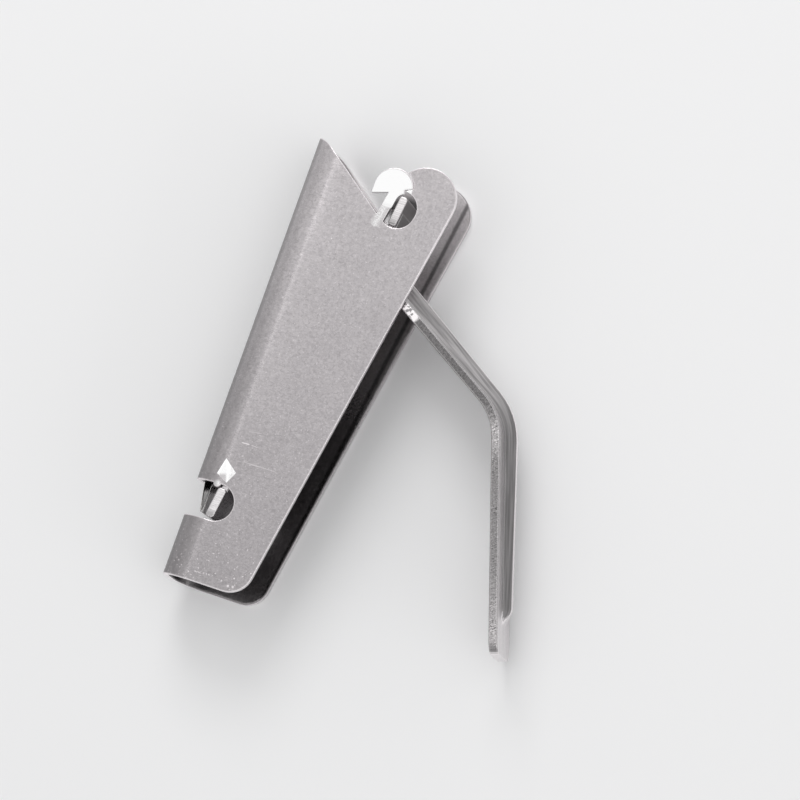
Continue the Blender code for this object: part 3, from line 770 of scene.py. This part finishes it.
def handle_steel():
    """Bright drawn strip with dark sheared edges and pale ears."""
    made = Nodes("handle_steel")
    run = made.run()
    flat = made.sheared()
    grain = made.noise(**STRIP_GRAIN)
    place = made.spot(made.math("DIVIDE", run, DRAWN_LENGTH), made.both(made.axis("Z"), DRAWN_LINES))
    drawn = made.noise(place=place, **DRAWN)

    level = made.math("ADD", made.both(grain, DRAWN_GRAIN), made.both(drawn, DRAWN_SHARE))
    broad = made.span(level, *MOST, *BROAD_TONE)
    slope = made.turned("Z")
    # Painted shade on the rib flanks and painted highlights on the lips, by how they face.
    lip = made.hill(slope, *LIP_COSINES)
    sides = made.blend(made.span(run, *FLANK_RUN), made.span(drawn, *CORE, *ARM_FLANK_SHADE_TONE),
                       made.span(drawn, *CORE, *GRIP_FLANK_SHADE_TONE))
    broad = made.blend(made.hill(slope, *FLANK_COSINES), broad, sides)
    broad = made.blend(lip, broad, LIP_HIGHLIGHT_TONE)
    # Painted shade on the broad faces near the pivot, between the ears.
    knee_shade = made.both(made.near(PIVOT, KNEE_REACH, KNEE_SOFT), KNEE_SHARE)
    broad = made.blend(knee_shade, broad, KNEE_SHADE_TONE)

    # A painted highlight at the strip's tip.
    tip = made.span(run, *TIP_RUN)
    edge = handle_edge(made, run, made.shear(run))
    edge = made.blend(made.both(tip, TIP_EDGE_SHARE), edge, TIP_EDGE_HIGHLIGHT_TONE)
    tone = made.blend(flat, made.blend(tip, broad, TIP_HIGHLIGHT_TONE), edge)
    ear = made.both(made.near(PIVOT, EAR_REACH, EAR_SOFT), flat)
    tone = made.blend(ear, tone, handle_ear(made))
    # Edge wear and a painted highlight along the rims.
    tone = made.blend(made.both(made.edge_wear_and_highlight(*HANDLE_RIM), HANDLE_RIM_SHARE), tone, STRIP_RIM_TONE)
    rough = made.blend(flat, made.blend(lip, HANDLE_ROUGH, HANDLE_LIP_ROUGH), HANDLE_EDGE_ROUGH)
    return steel(made, tone, HANDLE_TINT, rough, grain, normal=made.rounded(HANDLE_ROUNDING))


def presser_steel():
    """Strip with pale, cross-lined sheared edges that are dark at the foot."""
    made = Nodes("presser_steel")
    flat = made.sheared()
    grain = made.noise(**STRIP_GRAIN)
    east, north = (made.both(made.axis(name), lines) for name, lines in zip("XY", PRESSER_LINES))
    place = made.spot(east, north, BARS_SEED)
    lines = made.span(made.noise(place=place, **BARS), *PRESSER_LINE_LEVEL, *PRESSER_EDGE_TONE)
    tone = made.blend(flat, made.span(grain, *MOST, *PRESSER_TONE), lines)
    foot = made.span(made.axis("Y"), *(SLOT[1] - drop for drop in PRESSER_FOOT))
    tone = made.blend(made.both(foot, flat, PRESSER_FOOT_SHARE), tone, PRESSER_FOOT_TONE)
    # Edge wear and a painted highlight along the rims.
    tone = made.blend(made.both(made.edge_wear_and_highlight(*PRESSER_RIM), PRESSER_RIM_SHARE), tone, STRIP_RIM_TONE)
    rough = made.blend(flat, *PRESSER_ROUGH)
    return steel(made, tone, PRESSER_TINT, rough, grain, normal=made.rounded(PRESSER_ROUNDING))


def spring_steel():
    """Bright cold rolled spring strip with lengthwise lines."""
    made = Nodes("spring_steel")
    place = made.spot(*(made.both(made.axis(name), lines) for name, lines in zip("XYZ", SPRING_LINES)))
    grain = made.noise(place=place, **SPRING_GRAIN)
    tone = made.span(grain, *MOST, *SPRING_TONE)
    # Edge wear and a painted highlight along the rims.
    tone = made.blend(made.both(made.edge_wear_and_highlight(*SPRING_RIM), SPRING_RIM_SHARE), tone, SPRING_RIM_TONE)
    return steel(made, tone, SPRING_TINT, SPRING_ROUGH, grain, relief=SPRING_RELIEF)


def finish_steel():
    """Give each carried-over piece its own steel."""
    looks = {
        "body_shell": body_steel(),
        "handle_lever": handle_steel(),
        "presser_plate": presser_steel(),
        "return_spring": spring_steel(),
    }
    for node, material in looks.items():
        slots = frame["nodes"][node].data.materials
        slots.clear()
        slots.append(material)


def bend_spring():
    """Stand a leaf in for the spring: a copy of its mesh, with the spring itself hidden."""
    node = frame["nodes"]["return_spring"]
    leaf = bpy.data.objects.new("spring_leaf", node.data.copy())
    bpy.context.scene.collection.objects.link(leaf)
    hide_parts("return_spring")
    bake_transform(leaf)


def turned_to(place, target, roll=0.0):
    """A matrix at a place that looks at a target, with the frame's +Y up, then rolled in degrees."""
    back = (Vector(place) - Vector(target)).normalized()
    right = Vector((0.0, 1.0, 0.0)).cross(back).normalized()
    up = back.cross(right)
    turn = Matrix((right, up, back)).transposed().to_4x4()
    return Matrix.Translation(Vector(place) * MM) @ turn @ Matrix.Rotation(math.radians(roll), 4, "Z")


def add_camera():
    data = bpy.data.cameras.new("camera")
    data.lens = CAMERA_LENS
    data.sensor_width = CAMERA_SENSOR
    data.clip_end = CAMERA_REACH
    camera = bpy.data.objects.new("camera", data)
    camera.matrix_world = turned_to(CAMERA_PLACE, CAMERA_TARGET, CAMERA_ROLL)
    bpy.context.scene.collection.objects.link(camera)
    bpy.context.scene.camera = camera


def add_lamp(name, azimuth, elevation, distance, size, level):
    """A soft rectangular lamp that gives a white surface facing it the stated level."""
    turn, rise = math.radians(azimuth), math.radians(elevation)
    towards = Vector((math.cos(turn) * math.cos(rise), math.sin(turn) * math.cos(rise), math.sin(rise)))
    data = bpy.data.lights.new(name, "AREA")
    data.shape = "RECTANGLE"
    data.size, data.size_y = size
    data.energy = level * math.pi ** 2 * distance ** 2
    lamp = bpy.data.objects.new(name, data)
    lamp.matrix_world = turned_to(Vector(CAMERA_TARGET) + towards * distance / MM, CAMERA_TARGET)
    bpy.context.scene.collection.objects.link(lamp)


def add_floor():
    half = FLOOR_SIZE / 2
    drop = -FLOOR_DROP * MM
    mesh = bpy.data.meshes.new("floor")
    corners = [(x * half, y * half, drop) for x, y in ((-1, -1), (1, -1), (1, 1), (-1, 1))]
    mesh.from_pydata(corners, [], [(0, 1, 2, 3)])
    floor = bpy.data.objects.new("floor", mesh)
    made = Nodes("pale_floor")
    made.set(Base_Color=FLOOR_COLOUR, Roughness=FLOOR_ROUGHNESS)
    mesh.materials.append(made.material)
    bpy.context.scene.collection.objects.link(floor)


def light_world():
    """Even light from all round, paler towards the top."""
    world = bpy.data.worlds.new("studio")
    bpy.context.scene.world = world
    world.use_nodes = True
    nodes, links = world.node_tree.nodes, world.node_tree.links
    ground = nodes["Background"]
    where = nodes.new("ShaderNodeTexCoord")
    parts = nodes.new("ShaderNodeSeparateXYZ")
    level = nodes.new("ShaderNodeMapRange")
    level.inputs["To Min"].default_value = WORLD_HORIZON
    level.inputs["To Max"].default_value = WORLD_TOP
    links.new(where.outputs["Generated"], parts.inputs["Vector"])
    links.new(parts.outputs["Z"], level.inputs["Value"])
    links.new(level.outputs["Result"], ground.inputs["Strength"])
    ground.inputs["Color"].default_value = WORLD_COLOUR


def light_studio():
    light_world()
    for name, values in LAMPS.items():
        add_lamp(name, *values)


finish_steel()
bend_spring()
add_floor()
light_studio()
add_camera()
bpy.context.scene.view_settings.view_transform = "Standard"
